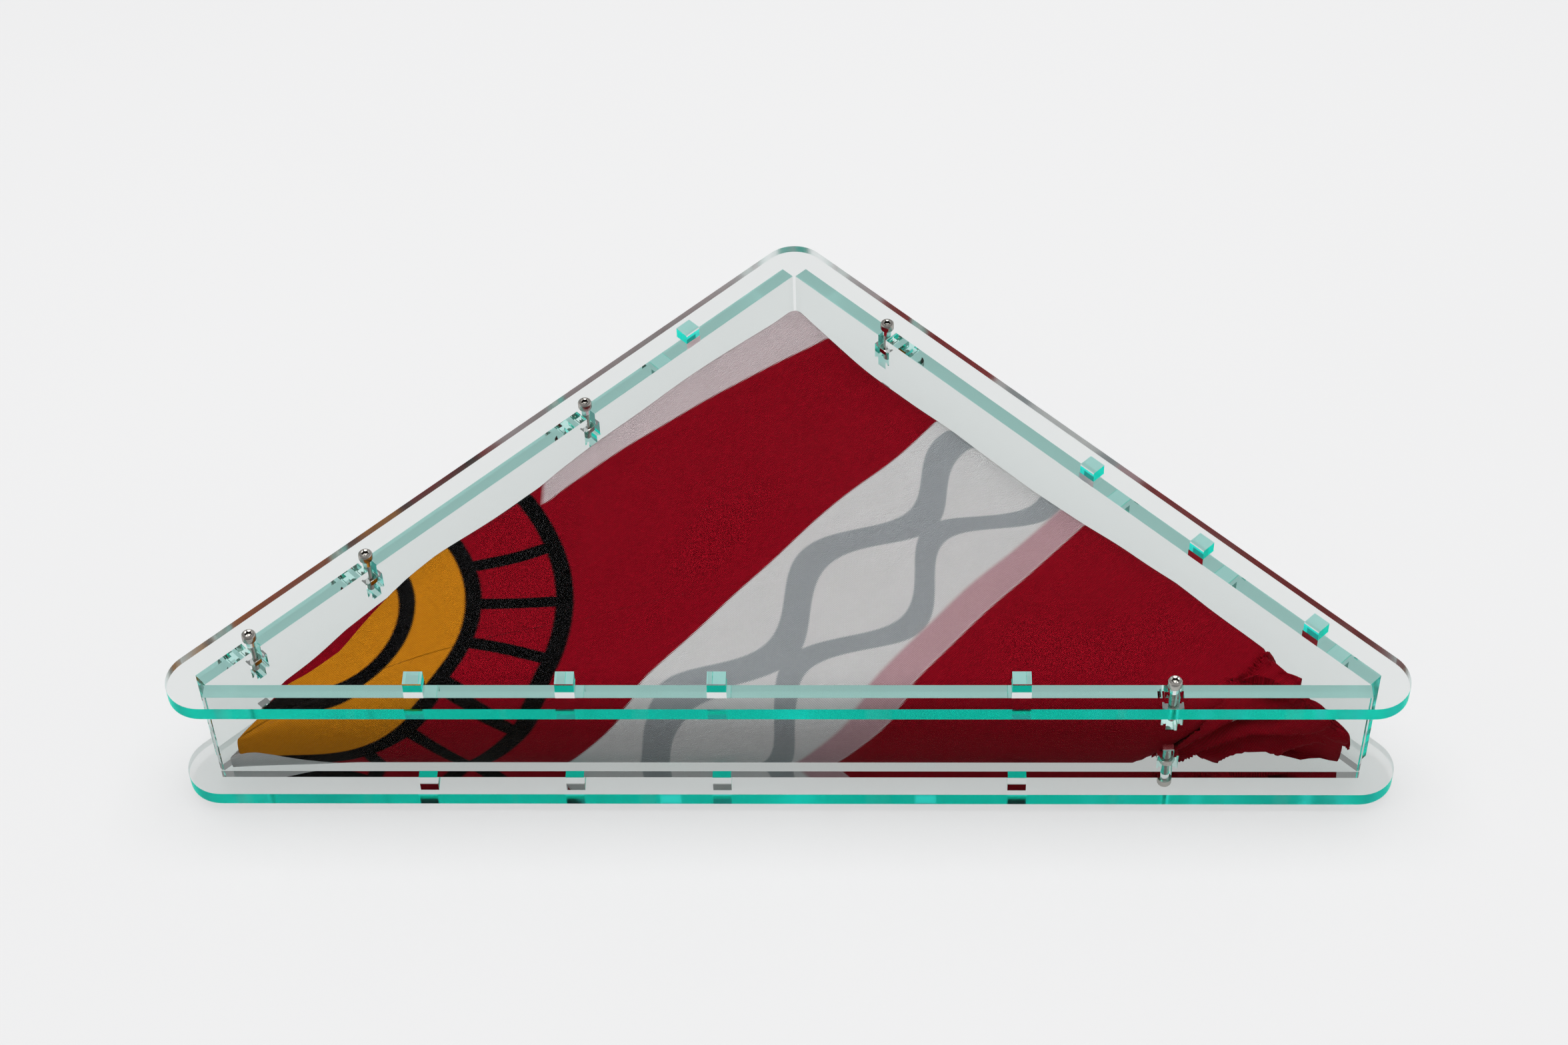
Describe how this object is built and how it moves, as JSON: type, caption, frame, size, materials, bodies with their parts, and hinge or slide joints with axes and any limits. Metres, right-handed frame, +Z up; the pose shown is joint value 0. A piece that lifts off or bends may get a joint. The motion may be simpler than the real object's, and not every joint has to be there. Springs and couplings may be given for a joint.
{
  "type": "folded flag display case",
  "caption": "Clear triangular display case for a folded flag: two rounded acrylic plates with three walls between them, held by tabs and cap screws, with the flag inside.",
  "frame": {"origin": "under the middle of the bounding box, on the plane that the lower tab ends rest on", "axes": "+Z up from the back plate to the cover, +X along the long edge, +Y towards the apex"},
  "size_m": [0.459, 0.2435, 0.0677],
  "materials": {
    "clear_acrylic": "clear cast acrylic with green-tinted polished edges",
    "steel": "plain stainless steel",
    "flag_cloth": "warp-knitted polyester, printed"
  },
  "bodies": {
    "case": {"back_plate": "clear_acrylic", "long_wall": "clear_acrylic", "left_wall": "clear_acrylic", "right_wall": "clear_acrylic", "folded_flag": "flag_cloth", "cover_nut_front": "steel", "back_nut_front": "steel", "cover_nut_left_high": "steel", "back_nut_left_high": "steel", "cover_nut_left_middle": "steel", "back_nut_left_middle": "steel", "cover_nut_left_low": "steel", "back_nut_left_low": "steel", "cover_nut_right": "steel", "back_nut_right": "steel"},
    "cover": {"cover_plate": "clear_acrylic"},
    "cover_screw_front": {"cover_screw_front": "steel"},
    "cover_screw_left_high": {"cover_screw_left_high": "steel"},
    "cover_screw_left_middle": {"cover_screw_left_middle": "steel"},
    "cover_screw_left_low": {"cover_screw_left_low": "steel"},
    "cover_screw_right": {"cover_screw_right": "steel"},
    "back_screw_front": {"back_screw_front": "steel"},
    "back_screw_left_high": {"back_screw_left_high": "steel"},
    "back_screw_left_middle": {"back_screw_left_middle": "steel"},
    "back_screw_left_low": {"back_screw_left_low": "steel"},
    "back_screw_right": {"back_screw_right": "steel"}
  },
  "joints": [
    {"name": "cover_lift", "type": "slide", "parent": "case", "child": "cover", "axis": [0, 0, 1], "range_m": [0, 0.06]},
    {"name": "cover_screw_front_out", "type": "slide", "parent": "cover", "child": "cover_screw_front", "axis": [0, 0, 1], "range_m": [0, 0.024]},
    {"name": "cover_screw_left_high_out", "type": "slide", "parent": "cover", "child": "cover_screw_left_high", "axis": [0, 0, 1], "range_m": [0, 0.024]},
    {"name": "cover_screw_left_middle_out", "type": "slide", "parent": "cover", "child": "cover_screw_left_middle", "axis": [0, 0, 1], "range_m": [0, 0.024]},
    {"name": "cover_screw_left_low_out", "type": "slide", "parent": "cover", "child": "cover_screw_left_low", "axis": [0, 0, 1], "range_m": [0, 0.024]},
    {"name": "cover_screw_right_out", "type": "slide", "parent": "cover", "child": "cover_screw_right", "axis": [0, 0, 1], "range_m": [0, 0.024]},
    {"name": "back_screw_front_out", "type": "slide", "parent": "case", "child": "back_screw_front", "axis": [0, 0, -1], "range_m": [0, 0.024]},
    {"name": "back_screw_left_high_out", "type": "slide", "parent": "case", "child": "back_screw_left_high", "axis": [0, 0, -1], "range_m": [0, 0.024]},
    {"name": "back_screw_left_middle_out", "type": "slide", "parent": "case", "child": "back_screw_left_middle", "axis": [0, 0, -1], "range_m": [0, 0.024]},
    {"name": "back_screw_left_low_out", "type": "slide", "parent": "case", "child": "back_screw_left_low", "axis": [0, 0, -1], "range_m": [0, 0.024]},
    {"name": "back_screw_right_out", "type": "slide", "parent": "case", "child": "back_screw_right", "axis": [0, 0, -1], "range_m": [0, 0.024]}
  ]
}
